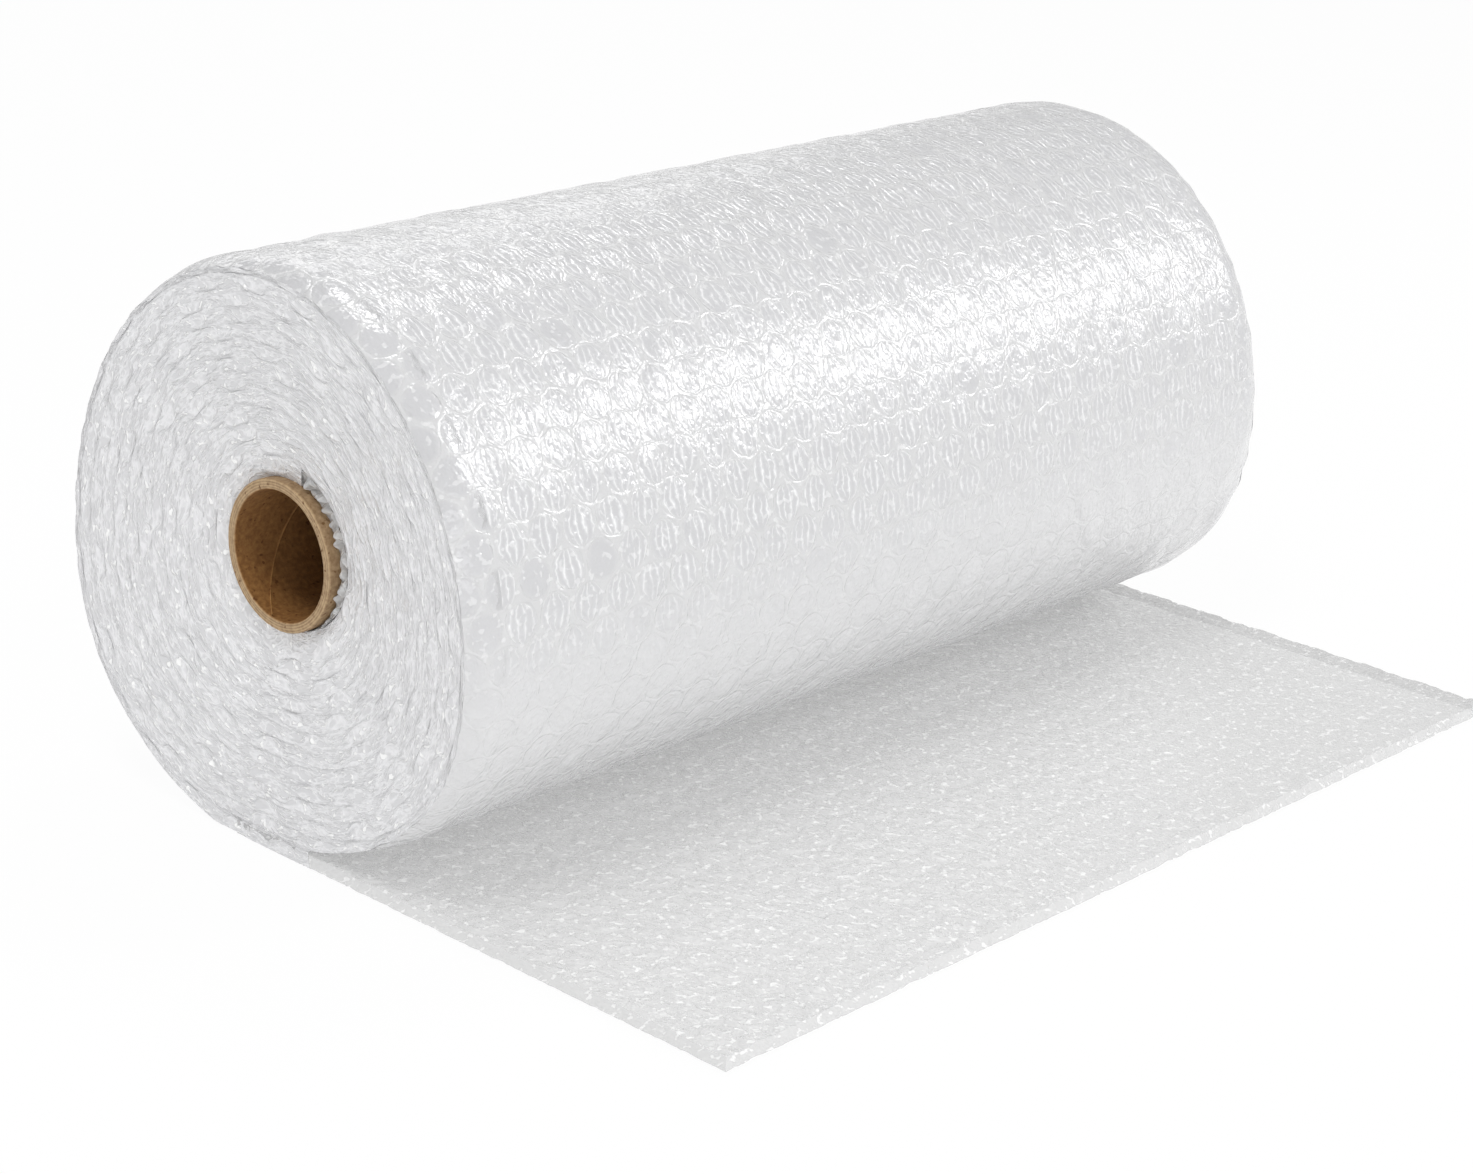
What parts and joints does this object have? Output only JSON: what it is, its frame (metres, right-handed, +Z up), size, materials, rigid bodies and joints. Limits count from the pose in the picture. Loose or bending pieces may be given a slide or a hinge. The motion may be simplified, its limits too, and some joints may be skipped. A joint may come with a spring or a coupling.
{
  "type": "bubble film roll",
  "caption": "Short roll of clear air-bubble packing film on a cardboard core, lying on its side with its free end rolled out flat, bubbles up.",
  "frame": {"origin": "on the floor, under the middle of the roll, in the middle of its flat spot", "axes": "+X along the roll, -Y the way the free end lies, +Z up"},
  "size_m": [0.305, 0.2281, 0.1442],
  "materials": {
    "film": "clear polyethylene film, glossy, milky where many layers lie over each other",
    "board": "brown kraft board, matt"
  },
  "bodies": {
    "root": {"bubble_film": "film", "core_tube": "board"}
  },
  "joints": []
}
